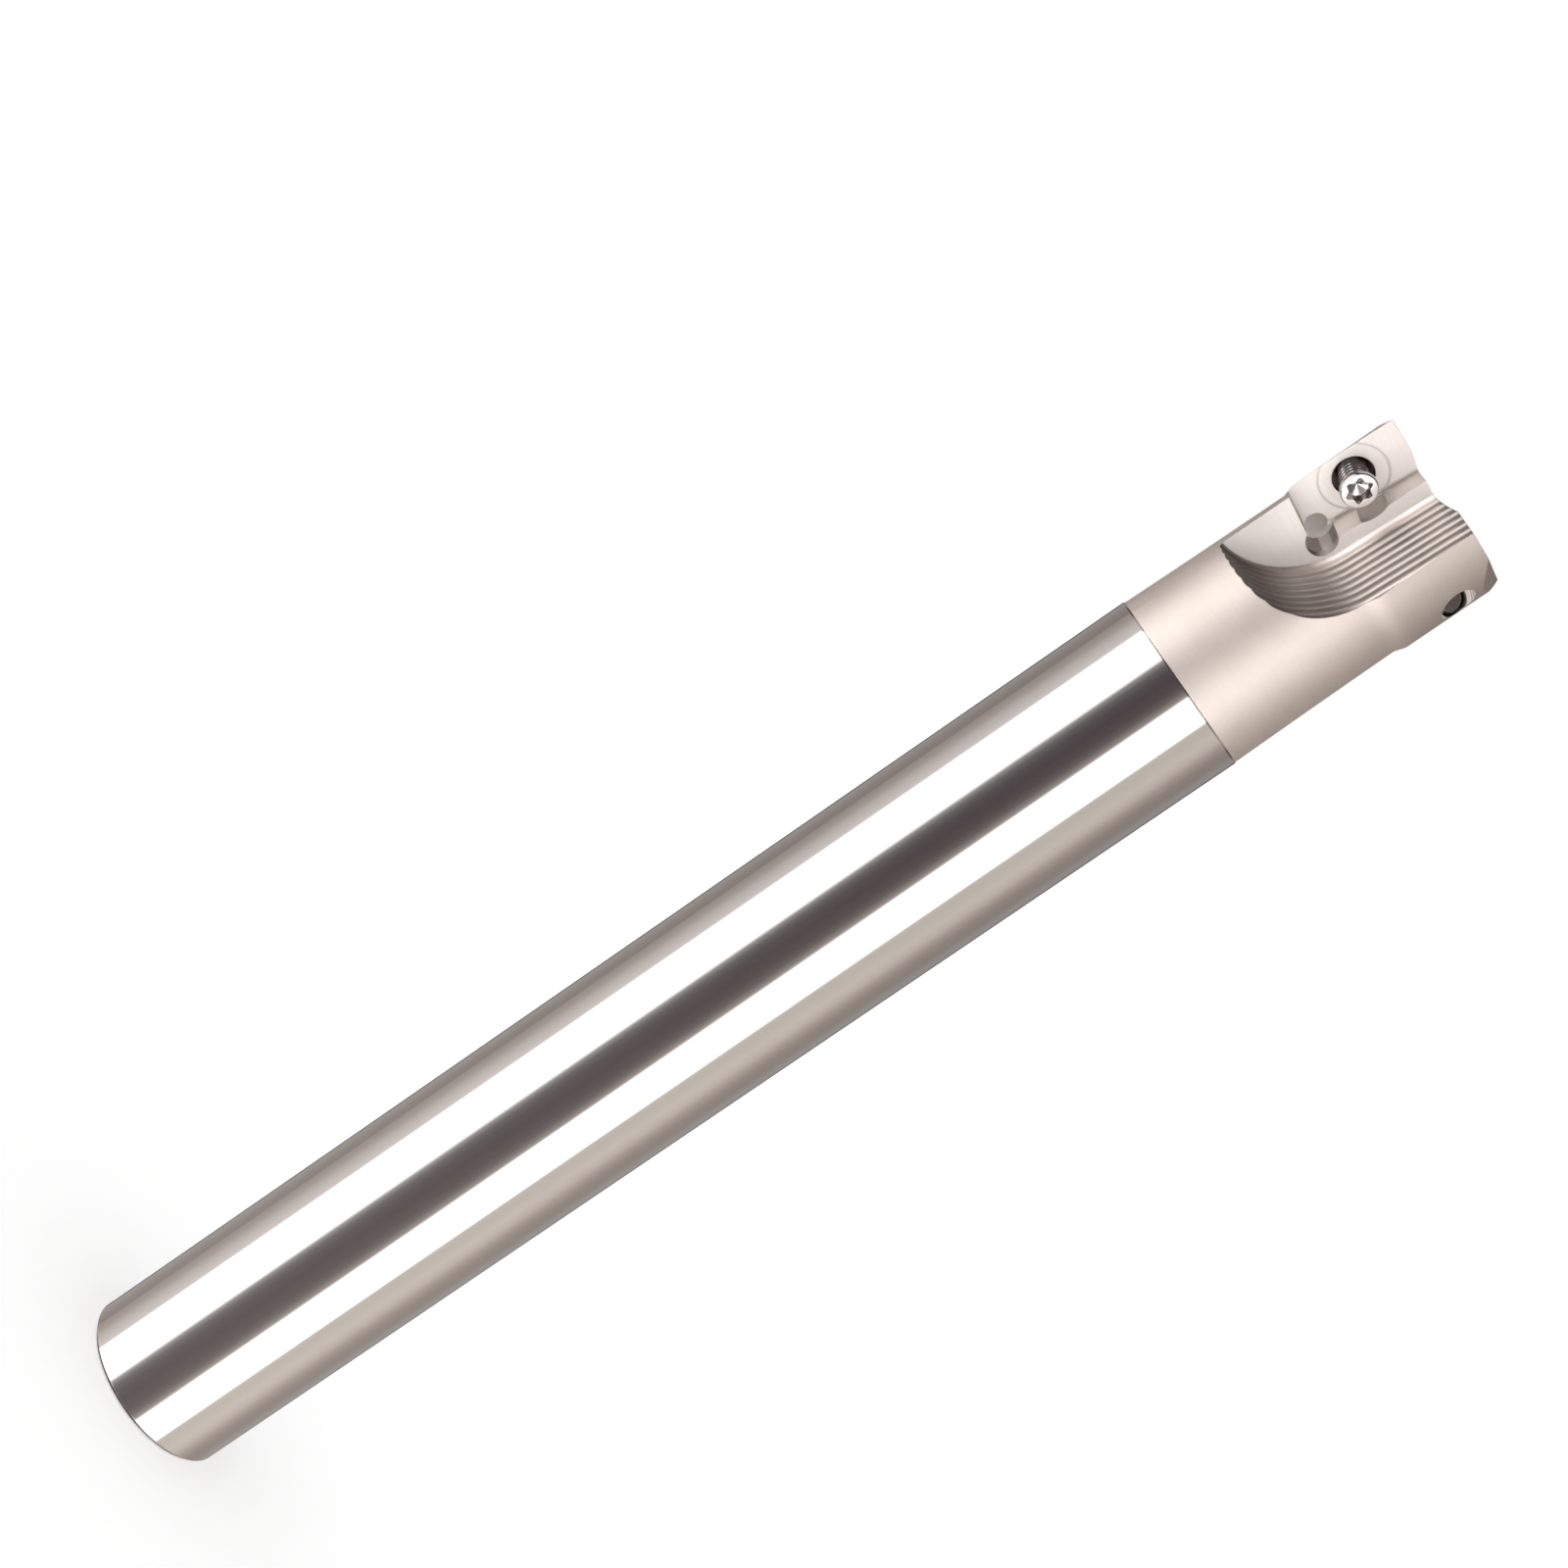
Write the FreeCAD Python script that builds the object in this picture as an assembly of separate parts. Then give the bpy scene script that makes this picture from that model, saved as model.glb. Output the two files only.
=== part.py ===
import FreeCAD, Part

import math
import os

# Indexable end mill: a ground steel shank with a two-flute head in one piece, with
# no inserts mounted, and one clamp screw standing in each insert pocket.
# Millimetres. The origin is the centre of the shank's end face, +Z runs along the
# axis to the cutting end, and +X points at the first pocket's outer edge.

# Shank and head, turned
shank_diameter = 16.0
overall_length = 133.0
head_length = 25.6
shank_end_chamfer = 0.4
shank_top_chamfer = 0.12
neck_start_undercut = 0.08
neck_middle_undercut = 0.22
neck_end_undercut = 0.31
neck_length = 15.4
collar_cone_length = 1.0
collar_undercut = 0.01

# Chip gullets, milled in passes from the cutting end
flute_count = 2
gullet_wall_offset = 0.88
gullet_floor_level = -0.5
gullet_back_reach = 16.95
gullet_arc_radius = 8.0
gullet_lengthwise_tilt = 5.0
gullet_outward_tilt = 6.0
gullet_foot_radius = 0.3
foot_pass_height = 0.95
foot_middle_across = 0.12
foot_middle_up = 0.38
pass_height = 1.05
pass_cusp = 0.09
gullet_back_turn = 100.0

# Insert pockets
pocket_floor_level = -3.1
pocket_width = 5.75
pocket_length = 9.98
pocket_axial_rake = 11.0
pocket_side_angle = 1.0
pocket_end_angle = 5.0
corner_relief_diameter = 2.7
corner_drill_diameter = 1.9
corner_drill_depth = 0.6
corner_relief_inset_x = 0.62
corner_relief_inset_z = 0.9
foot_groove_radius = 0.16
screw_ring_diameter = 5.85
screw_ring_depth = 0.05

# Cutting end
end_hollow_diameter = 9.6
end_hollow_depth = 0.62
end_relief_angle = 5.6
end_relief_start = 2.1
corner_facet_start = -15.0
corner_facet_direction = -48.0
corner_facet_slope = 35.0

# Clamp screws
screw_from_side = 3.1
screw_from_end = 4.8
thread_diameter = 2.5
thread_clearance = 0.03
hole_mouth_diameter = 3.55
hole_mouth_depth = 0.7
back_bore_diameter = 3.1
back_bore_depth = 2.45
screw_head_diameter = 3.1
screw_rim_height = 0.5
screw_rim_chamfer = 0.1
screw_cone_angle = 60.0
screw_head_height = 2.6
screw_grip = 2.2
screw_tip_chamfer = 0.4
socket_points_diameter = 2.31
socket_waist_diameter = 1.66
socket_depth = 0.95
socket_lobes = 6
socket_lobe_share = 0.42
drill_point_angle = 118.0

# Derived sizes
shank_radius = shank_diameter / 2
shank_length = overall_length - head_length
pocket_side_offset = shank_radius - pocket_width
screw_offset = shank_radius - screw_from_side
collar_radius = shank_radius - collar_undercut
outside = 2 * shank_diameter
z_axis = FreeCAD.Vector(0, 0, 1)
x_axis = FreeCAD.Vector(1, 0, 0)


def tan_deg(angle):
    return math.tan(math.radians(angle))


def tilted_frame(tilt, x, level, z):
    """A frame with its normal leaned back from +Y towards the shank, and its own length axis."""
    lean = math.radians(tilt)
    normal = FreeCAD.Vector(0, math.cos(lean), -math.sin(lean))
    along = FreeCAD.Vector(0, math.sin(lean), math.cos(lean))
    return FreeCAD.Vector(x, level, z), x_axis, normal, along


def place(frame, across, up, along):
    """The point that lies so far across, up and along in a tilted frame."""
    origin, side, normal, length = frame
    return origin + side * across + normal * up + length * along


def polygon_face(points):
    return Part.Face(Part.makePolygon(points + [points[0]]))


def turned_profile():
    """Half section of the blank: chamfered shank, necked head, cone and collar."""
    neck_start = FreeCAD.Vector(shank_radius - neck_start_undercut, 0, shank_length)
    neck_middle = FreeCAD.Vector(shank_radius - neck_middle_undercut, 0, shank_length + neck_length / 2)
    neck_end = FreeCAD.Vector(shank_radius - neck_end_undercut, 0, shank_length + neck_length)
    straight = [
        FreeCAD.Vector(0, 0, 0),
        FreeCAD.Vector(shank_radius - shank_end_chamfer, 0, 0),
        FreeCAD.Vector(shank_radius, 0, shank_end_chamfer),
        FreeCAD.Vector(shank_radius, 0, shank_length - shank_top_chamfer),
        neck_start,
    ]
    front = [
        neck_end,
        FreeCAD.Vector(collar_radius, 0, neck_end.z + collar_cone_length),
        FreeCAD.Vector(collar_radius, 0, overall_length),
        FreeCAD.Vector(0, 0, overall_length),
        FreeCAD.Vector(0, 0, 0),
    ]
    neck = Part.Arc(neck_start, neck_middle, neck_end).toShape()
    edges = Part.makePolygon(straight).Edges + [neck] + Part.makePolygon(front).Edges
    return Part.Face(Part.Wire(edges))


def turned_blank():
    return turned_profile().revolve(FreeCAD.Vector(0, 0, 0), z_axis, 360)


def gullet_frame():
    """Frame at the foot of the gullet wall, where the back arc begins."""
    start = overall_length - gullet_back_reach + gullet_arc_radius
    reference = overall_length - screw_from_end
    level = gullet_floor_level + (start - reference) * tan_deg(gullet_lengthwise_tilt)
    return tilted_frame(gullet_lengthwise_tilt, gullet_wall_offset, level, start)


def gullet_section(frame):
    """Section of one gullet: sloped floor, rounded foot and a wall left in shallow milled passes."""
    reach = gullet_arc_radius
    floor_drop = tan_deg(gullet_outward_tilt)
    top = shank_diameter
    foot = place(frame, gullet_foot_radius, -gullet_foot_radius * floor_drop, 0)
    middle_across = foot_middle_across * gullet_foot_radius
    foot_middle = place(frame, middle_across, foot_middle_up * foot_pass_height, 0)
    first_cusp = place(frame, pass_cusp, foot_pass_height, 0)
    edges = [Part.Arc(foot, foot_middle, first_cusp).toShape()]
    height = foot_pass_height
    while height < shank_radius - gullet_floor_level + pass_height:
        low = place(frame, pass_cusp, height, 0)
        middle = place(frame, 0, height + pass_height / 2, 0)
        high = place(frame, pass_cusp, height + pass_height, 0)
        edges.append(Part.Arc(low, middle, high).toShape())
        height += pass_height
    closing = [
        place(frame, pass_cusp, height, 0),
        place(frame, pass_cusp, top, 0),
        place(frame, reach, top, 0),
        place(frame, reach, -reach * floor_drop, 0),
        foot,
    ]
    edges += Part.makePolygon(closing).Edges
    return Part.Face(Part.Wire(edges))


def gullet_cutter():
    """The section run straight out of the cutting end, and turned round the back arc."""
    frame = gullet_frame()
    section = gullet_section(frame)
    straight = section.extrude(frame[3] * outside)
    arc_axis = place(frame, gullet_arc_radius, 0, 0)
    back = section.revolve(arc_axis, frame[2], -gullet_back_turn)
    return straight, back


def pocket_frame():
    """Frame on the pocket floor, at the clamp screw."""
    reference = overall_length - screw_from_end
    return tilted_frame(pocket_axial_rake, 0, pocket_floor_level, reference)


def pocket_corner():
    """The pocket floor's inner back corner, across and along from the screw."""
    back = screw_from_end - pocket_length
    across = pocket_side_offset + back * tan_deg(pocket_side_angle)
    along = back - (collar_radius - across) * tan_deg(pocket_end_angle) / 2
    return across, along


def pocket_cutter():
    """Space of one insert: a flat floor with a side wall and an end wall square to it."""
    frame = pocket_frame()
    across, along = pocket_corner()
    far = shank_diameter
    outline = [
        place(frame, across, 0, along),
        place(frame, across + far, 0, along + far * tan_deg(pocket_end_angle)),
        place(frame, across + far, 0, along + outside),
        place(frame, across + outside * tan_deg(pocket_side_angle), 0, along + outside),
    ]
    return polygon_face(outline).extrude(frame[2] * shank_radius)


def side_wall_direction():
    frame = pocket_frame()
    direction = frame[3] + x_axis * tan_deg(pocket_side_angle)
    return direction.normalize()


def foot_groove():
    """Fine groove along the foot of the pocket's side wall, so an insert's edge clears it."""
    frame = pocket_frame()
    across, along = pocket_corner()
    start = place(frame, across + foot_groove_radius, 0, along)
    return Part.makeCylinder(foot_groove_radius, outside, start, side_wall_direction())


def corner_relief():
    """Relief milled down to the floor in the pocket's back corner, with a smaller drilled hole."""
    frame = pocket_frame()
    across, along = pocket_corner()
    x = across + corner_relief_inset_x
    z = along + corner_relief_inset_z
    relief = Part.makeCylinder(corner_relief_diameter / 2, shank_radius, place(frame, x, 0, z), frame[2])
    drill_radius = corner_drill_diameter / 2
    bottom = place(frame, x, -corner_drill_depth, z)
    drill = Part.makeCylinder(drill_radius, corner_drill_depth, bottom, frame[2])
    point_length = drill_radius / tan_deg(drill_point_angle / 2)
    point = Part.makeCone(drill_radius, 0, point_length, bottom, frame[2] * -1)
    return relief.fuse([drill, point])


def screw_hole():
    """Screw hole: shallow ring, counterbored mouth, bore and a wider bore at the back."""
    frame = pocket_frame()
    normal = frame[2]
    down = normal * -1
    bore_radius = thread_diameter / 2 + thread_clearance
    mouth_radius = hole_mouth_diameter / 2
    centre = place(frame, screw_offset, 0, 0)
    ring_floor = centre + down * screw_ring_depth
    ring = Part.makeCylinder(screw_ring_diameter / 2, shank_radius, ring_floor, normal)
    mouth = Part.makeCylinder(mouth_radius, hole_mouth_depth, ring_floor, down)
    mouth_floor = ring_floor + down * hole_mouth_depth
    point_length = (mouth_radius - bore_radius) / tan_deg(drill_point_angle / 2)
    point = Part.makeCone(mouth_radius, bore_radius, point_length, mouth_floor, down)
    bore = Part.makeCylinder(bore_radius, shank_radius, centre, down)
    back = Part.makeCylinder(back_bore_diameter / 2, shank_radius, centre + down * back_bore_depth, down)
    return ring.fuse([mouth, point, bore, back])


def half_turns(cutter):
    """The same cutter at every flute."""
    step = 360.0 / flute_count
    copies = []
    for index in range(flute_count):
        copy = cutter.copy()
        copy.rotate(FreeCAD.Vector(0, 0, 0), z_axis, index * step)
        copies.append(copy)
    return copies


def end_hollow():
    """Shallow round hollow that leaves the cutting end deepest on the axis."""
    edge = end_hollow_diameter / 2
    radius = (edge ** 2 + end_hollow_depth ** 2) / (2 * end_hollow_depth)
    centre = FreeCAD.Vector(0, 0, overall_length - end_hollow_depth + radius)
    return Part.makeSphere(radius, centre)


def end_relief():
    """Wedge that lowers the end face behind the first pocket's edge."""
    far = outside
    section = polygon_face([
        FreeCAD.Vector(-far, -end_relief_start, overall_length),
        FreeCAD.Vector(-far, -end_relief_start - far, overall_length - far * tan_deg(end_relief_angle)),
        FreeCAD.Vector(-far, -end_relief_start - far, overall_length + far),
        FreeCAD.Vector(-far, -end_relief_start, overall_length + far),
    ])
    return section.extrude(x_axis * (2 * far))


def corner_facet():
    """Flat facet across the outer corner, growing from the cutting corner backwards."""
    start = math.radians(corner_facet_start)
    direction = math.radians(corner_facet_direction)
    slope = math.radians(corner_facet_slope)
    normal = FreeCAD.Vector(
        math.cos(direction) * math.cos(slope),
        math.sin(direction) * math.cos(slope),
        math.sin(slope),
    )
    corner = FreeCAD.Vector(
        collar_radius * math.cos(start),
        collar_radius * math.sin(start),
        overall_length,
    )
    return Part.makeCylinder(shank_diameter, shank_radius, corner, normal)


def holder_body():
    """The one-piece holder: blank, less gullets, pockets, holes and end reliefs."""
    cutters = []
    for cutter in gullet_cutter():
        cutters += half_turns(cutter)
    for cutter in (pocket_cutter(), foot_groove(), corner_relief(), screw_hole()):
        cutters += half_turns(cutter)
    cutters += half_turns(end_relief())
    cutters += half_turns(corner_facet())
    body = turned_blank()
    for cutter in cutters:
        body = body.cut(cutter)
    return body.cut(end_hollow())


def socket_face(centre, normal):
    """Lobed socket outline as alternating arcs, with a lobe towards the cutting end."""
    points_radius = socket_points_diameter / 2
    waist_radius = socket_waist_diameter / 2
    joint_radius = (points_radius + waist_radius) / 2
    pitch = 360.0 / socket_lobes
    lobe_half = socket_lobe_share * pitch / 2

    def at(radius, angle):
        turn = math.radians(angle)
        across = normal.cross(x_axis)
        return centre + x_axis * (radius * math.cos(turn)) + across * (radius * math.sin(turn))

    edges = []
    for index in range(socket_lobes):
        middle = (index + 0.5) * pitch
        start = at(joint_radius, middle - lobe_half)
        end = at(joint_radius, middle + lobe_half)
        following = at(joint_radius, middle + pitch - lobe_half)
        edges.append(Part.Arc(start, at(points_radius, middle), end).toShape())
        edges.append(Part.Arc(end, at(waist_radius, middle + pitch / 2), following).toShape())
    return Part.Face(Part.Wire(edges))


def clamp_screw():
    """Insert screw: chamfered rim, conical underside, thread and a lobed socket."""
    frame = pocket_frame()
    normal = frame[2]
    head_radius = screw_head_diameter / 2
    thread_radius = thread_diameter / 2
    cone_height = (head_radius - thread_radius) / tan_deg(screw_cone_angle / 2)
    rim_low = screw_head_height - screw_rim_height

    def at(radius, up):
        return place(frame, screw_offset + radius, up, 0)

    section = polygon_face([
        at(0, -screw_grip),
        at(thread_radius - screw_tip_chamfer, -screw_grip),
        at(thread_radius, -screw_grip + screw_tip_chamfer),
        at(thread_radius, rim_low - cone_height),
        at(head_radius, rim_low),
        at(head_radius, screw_head_height - screw_rim_chamfer),
        at(head_radius - screw_rim_chamfer, screw_head_height),
        at(0, screw_head_height),
    ])
    screw = section.revolve(at(0, 0), normal, 360)
    socket = socket_face(at(0, screw_head_height), normal).extrude(normal * -socket_depth)
    socket_radius = socket_waist_diameter / 2
    bottom = at(0, screw_head_height - socket_depth)
    point_length = socket_radius / tan_deg(drill_point_angle / 2)
    point = Part.makeCone(socket_radius, 0, point_length, bottom, normal * -1)
    return screw.cut(socket.fuse(point))


def single_solid(shape, name):
    """The one solid that a piece consists of."""
    shape = shape.removeSplitter()
    solids = shape.Solids
    if len(solids) != 1:
        raise ValueError(name + " has " + str(len(solids)) + " solids")
    return solids[0]


def export(shape, name):
    solid = single_solid(shape, name)
    print(name, "volume mm3", round(solid.Volume, 2), "valid", solid.isValid())
    solid.exportStep("parts/" + name + ".step")


os.makedirs("parts", exist_ok=True)
export(holder_body(), "holder_body")
for number, screw in enumerate(half_turns(clamp_screw()), start=1):
    export(screw, "clamp_screw_" + str(number))
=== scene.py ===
import math
from types import SimpleNamespace

import bpy
from mathutils import Matrix, Vector


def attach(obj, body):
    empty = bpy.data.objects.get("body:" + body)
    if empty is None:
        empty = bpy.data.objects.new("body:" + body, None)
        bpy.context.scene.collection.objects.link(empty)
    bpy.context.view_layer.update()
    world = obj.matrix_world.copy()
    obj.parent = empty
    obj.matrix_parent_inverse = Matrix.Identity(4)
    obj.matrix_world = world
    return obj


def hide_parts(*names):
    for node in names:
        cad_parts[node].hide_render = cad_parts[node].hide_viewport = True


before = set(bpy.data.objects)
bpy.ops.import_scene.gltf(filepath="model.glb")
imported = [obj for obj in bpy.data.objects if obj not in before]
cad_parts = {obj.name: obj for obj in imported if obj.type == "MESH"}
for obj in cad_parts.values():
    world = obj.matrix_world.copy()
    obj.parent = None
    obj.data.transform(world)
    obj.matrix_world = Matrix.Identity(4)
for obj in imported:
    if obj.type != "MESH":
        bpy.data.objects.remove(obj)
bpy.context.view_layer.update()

# Metres and degrees. The tool stands on its shank end at the origin, with its axis along +Z.
# A pair of values is a range: a share is 0 at the first and 1 at the second, and a level
# runs from the first to the second.
MM = 0.001
FULL_TURN = 360.0
HALF_TURN = 180.0
WHITE = (1.0, 1.0, 1.0, 1.0)

# Camera: place, point aimed at and which way is up in the picture
CAMERA_PLACE = (0.112664, 0.187616, 0.107176)
CAMERA_TARGET = (0.010280, -0.005448, 0.075764)
CAMERA_UP = (0.687370, -0.456431, 0.564972)
CAMERA_LENS = 60.768
SENSOR_WIDTH = 36.0
CAMERA_NEAR = 0.01
CAMERA_FAR = 50.0

# World and floor
AMBIENT_GREY = 0.92
FLOOR_HALF_SIDE = 6.0
FLOOR_GAP = 0.1 * MM
FLOOR_GREY = 0.86
FLOOR_GLOW = 0.26

# Ring of reflecting cards round the tool, and where the camera stands round the axis
TENT_RADIUS = 0.42
TENT_TOP = 1.0
TENT_FOOT = -1.2
TENT_STEPS = 360
CAMERA_AZIMUTH = 59.0

# Colour of the reflected studio round the axis: degrees from the camera's side, positive
# towards the picture's upper edge, and the colour of the soft box, card or dark cloth there.
STUDIO = [
    (-180, (0.04, 0.037, 0.036)),
    (-166, (0.04, 0.037, 0.036)),
    (-158, (0.30, 0.285, 0.275)),
    (-144, (0.318, 0.312, 0.297)),
    (-126, (0.289, 0.256, 0.228)),
    (-112, (0.33, 0.284, 0.255)),
    (-101, (0.43, 0.37, 0.337)),
    (-90, (0.60, 0.54, 0.49)),
    (-80, (0.666, 0.61, 0.553)),
    (-66, (0.61, 0.56, 0.505)),
    (-58, (0.62, 0.58, 0.53)),
    (-55, (2.75, 2.67, 2.60)),
    (-22, (2.75, 2.67, 2.60)),
    (-18, (0.36, 0.33, 0.31)),
    (-10, (0.16, 0.14, 0.135)),
    (-3, (0.11, 0.092, 0.092)),
    (8, (0.088, 0.072, 0.078)),
    (18, (0.108, 0.093, 0.099)),
    (25, (0.155, 0.145, 0.15)),
    (31, (0.34, 0.34, 0.34)),
    (38, (2.50, 2.44, 2.40)),
    (77, (2.50, 2.44, 2.40)),
    (81, (0.74, 0.70, 0.68)),
    (98, (0.56, 0.51, 0.485)),
    (110, (0.37, 0.325, 0.30)),
    (123, (0.265, 0.225, 0.208)),
    (140, (0.318, 0.284, 0.268)),
    (158, (0.34, 0.32, 0.305)),
    (166, (0.04, 0.037, 0.036)),
    (180, (0.04, 0.037, 0.036)),
]
# Above the head the soft boxes end and dark cloth hangs, lower at the back.
CLOTH_HEIGHT = (0.20, 0.30)
CLOTH_BACK_HEIGHT = (0.14, 0.19)
CLOTH_BACK_ANGLE = (100.0, 120.0)
CLOTH_COLOUR = (0.09, 0.075, 0.07)
# Low down the studio is a little lighter all round.
LIFT_HEIGHT = (0.10, -0.20)
LIFT_COLOUR = (0.06, 0.055, 0.05)
# The box on the lower side leans: it stands further round at its foot.
LEAN_HEIGHT = (0.107, -0.206)
LEAN_SIDE = (20.0, -15.0)
LEAN_ANGLE = 5.0

# Clamp screw, in its own frame: heights are along its axis from the pocket floor
SCREW_PLACE = (4.9 * MM, -3.1 * MM, 128.2 * MM)
SCREW_LEAN = 11.0
SCREW_TIP = -2.2 * MM
SCREW_TOP = 2.6 * MM
SCREW_HEAD_RADIUS = 1.55 * MM
SCREW_RIM_HEIGHT = 0.5 * MM
SCREW_RIM_ROUND = 0.15 * MM
SCREW_RIM_STEPS = 6
SCREW_CONE_HEIGHT = 0.52 * MM
SCREW_STEPS = 96
THREAD_RADIUS = 1.25 * MM
THREAD_DEPTH = 0.276 * MM
THREAD_PITCH = 0.45 * MM
THREAD_CREST_SHARE = 0.2
THREAD_TIP_LENGTH = 0.4 * MM
THREAD_RINGS_PER_TURN = 10
SOCKET_OUTER_RADIUS = 1.155 * MM
SOCKET_WAIST_RADIUS = 0.86 * MM
SOCKET_LOBES = 6
SOCKET_LOBE_SHARPNESS = 1.3
SOCKET_LEAD = 0.03 * MM
SOCKET_DEPTH = 0.95 * MM
SOCKET_POINT_DEPTH = 0.35 * MM
SHARP_EDGE_ANGLE = 28.0
TRIANGLE_CORNERS = 3

# Where the holder's surfaces lie: heights along the tool, and how far each faces a direction
HEAD_FROM = (107.38 * MM, 107.42 * MM)
OUTSIDE_RADIUS = (6.4 * MM, 6.6 * MM)
OUTSIDE_FACING = (0.62, 0.70)
FLOOR_FACING = (0.80, 0.88)
SIDE_FACING = (0.90, 0.96)
FACET_FACING = (0.2, 0.4)
ARC_FACING = (0.0, 0.35)
ARC_BACK_FACING = (0.48, 0.86)

# Gullet: its height is measured from the wall's foot, square to the gullet's length
GULLET_FLOOR_LEVEL = -0.5 * MM
GULLET_REFERENCE = 128.2 * MM
GULLET_TILT = 5.0
GULLET_HEIGHT = (-0.9 * MM, -0.8 * MM)
FOOT_HEIGHT = (0.8 * MM, 0.3 * MM)
FOOT_PASS_HEIGHT = 0.95 * MM
PASS_HEIGHT = 1.05 * MM
PASS_LINE_ABOVE = (0.6 * MM, FOOT_PASS_HEIGHT)
PASS_LINE_SHIFT = 0.55
PASS_LINE_COSINE = (-0.3, 1.0)

# Holes: distance from the nearer screw's axis, and height along it from the pocket floor
SCREW_HOLE_DISTANCE = (2.1 * MM, 1.95 * MM)
BORE_HEIGHT = (-2.4 * MM, -2.2 * MM)
# The ring cutter's line round each screw, where a shade is painted on the floor
RING_LINE_RADIUS = 2.93 * MM
RING_LINE_WIDTH = 0.22 * MM
RING_LINE_STRENGTH = 0.16
DRILLED_HEIGHT = (-0.02 * MM, -0.06 * MM)
DRILLED_DISTANCE = (3.1 * MM, 3.3 * MM)
DRILLED_BELOW = (125.3 * MM, 125.1 * MM)
TAPPED_PITCH = 0.45 * MM
TAPPED_COSINE = (-0.35, 0.35)

# Shading that softens the collar's cone and the corner facet
COLLAR_CONE_START = (122.2 * MM, 123.2 * MM)
COLLAR_CONE_END = (124.4 * MM, 123.4 * MM)
COLLAR_CONE_SLOPE = 0.17
COLLAR_BLEND_START = (121.6 * MM, 122.0 * MM)
COLLAR_BLEND_END = (125.0 * MM, 124.6 * MM)
FACET_BLEND = 0.6
# The pocket floor is shaded as if it leaned outwards, more towards the pocket's back.
FLOOR_LEAN = 0.20
FLOOR_LEAN_FADE = (132.5 * MM, 123.0 * MM)

# Colours of the holder
SHANK_COLOUR = (0.80, 0.775, 0.765)
HEAD_COLOUR = (0.90, 0.83, 0.785)
HEAD_FRONT_FROM = (118.0 * MM, 130.0 * MM)
HEAD_FRONT_SHADE = 0.84
WALL_COLOUR = (0.95, 0.88, 0.84)
# Painted shade: the arc at the gullet's back is darker, and darkest where it turns to face the tip
ARC_COLOUR = (0.76, 0.69, 0.65)
ARC_BACK_COLOUR = (0.20, 0.178, 0.17)
# Painted shade in the middle of each milled pass, on the straight wall and round the arc
PASS_LINE_SHADE = 0.45
ARC_LINE_SHADE = 0.66
FLAT_COLOUR = (0.97, 0.92, 0.88)
CURVED_COLOUR = (0.57, 0.52, 0.49)
DRILLED_COLOUR = (0.97, 0.93, 0.90)
TAPPED_COLOUR = (0.93, 0.90, 0.88)
# Worn edges: real wear and a painted highlight along the edges
WORN_EDGE_HIGHLIGHT_COLOUR = (0.93, 0.91, 0.89)
# Painted shade: the dark colour mixed into hollows, the screw's bore and socket, and the ring
# cutter's line
PAINTED_SHADE_COLOUR = (0.05, 0.04, 0.036)

# How rough and how metallic the holder is
SHANK_ROUGHNESS = (0.05, 0.09)
HEAD_ROUGHNESS = 0.60
WALL_ROUGHNESS = 0.36
FOOT_ROUGHNESS = 0.5
FLAT_ROUGHNESS = 0.53
CURVED_ROUGHNESS = 0.40
DRILLED_ROUGHNESS = 0.35
WORN_ROUGHNESS = 0.25
FLAT_METALLIC = 0.6
TAPPED_METALLIC = 0.4
DRILLED_METALLIC = 0.3

# Fine grain: its period along X, Y and Z, how far it darkens and lightens, and how high it stands
GROUND_PERIODS = (4.0 * MM, 4.0 * MM, 0.12 * MM)
GROUND_HEIGHT = 0.0004 * MM
TURNED_PERIODS = (2.0 * MM, 2.0 * MM, 0.16 * MM)
TURNED_SHADE = (0.96, 1.04)
TURNED_HEIGHT = 0.003 * MM
MILLED_PERIODS = (0.22 * MM, 0.22 * MM, 2.2 * MM)
MILLED_HEIGHT = 0.004 * MM
MOTTLE_PERIODS = (2.6 * MM, 2.6 * MM, 3.2 * MM)
MOTTLE_SHADE = (0.93, 1.05)
SMUDGE_PERIODS = (9.0 * MM, 9.0 * MM, 16.0 * MM)
SMUDGE_SHADE = (0.97, 1.02)
SCRATCH_PERIODS = (0.5 * MM, 0.12 * MM, 0.5 * MM)
SCRATCH_SHADE = (0.90, 1.05)
SCRATCH_HEIGHT = 0.002 * MM
GRAIN_DETAIL = 3.0

# Edge wear with a painted highlight, and painted shade in hollows: reach, and how strongly they show
EDGE_RADIUS = 0.07 * MM
SCREW_EDGE_RADIUS = 0.025 * MM
EDGE_SAMPLES = 6
EDGE_WEAR_HIGHLIGHT_FACING = (0.995, 0.90)
WORN_EDGE_HIGHLIGHT_SHARE = 0.6
WORN_ROUGHNESS_SHARE = 0.5
HOLLOW_REACH = 1.6 * MM
SCREW_HOLLOW_REACH = 0.7 * MM
HOLLOW_SAMPLES = 8
HOLLOW_OPENNESS = (0.62, 0.12)
# How strongly painted shade darkens the head's hollows, the screw's bore, the tapped and drilled
# holes, the socket and the thread
HOLLOW_PAINTED_SHADE = 0.25
BORE_PAINTED_SHADE = 0.95
TAPPED_PAINTED_SHADE = 0.12
SOCKET_PAINTED_SHADE = 0.85
THREAD_PAINTED_SHADE = 0.3

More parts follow.
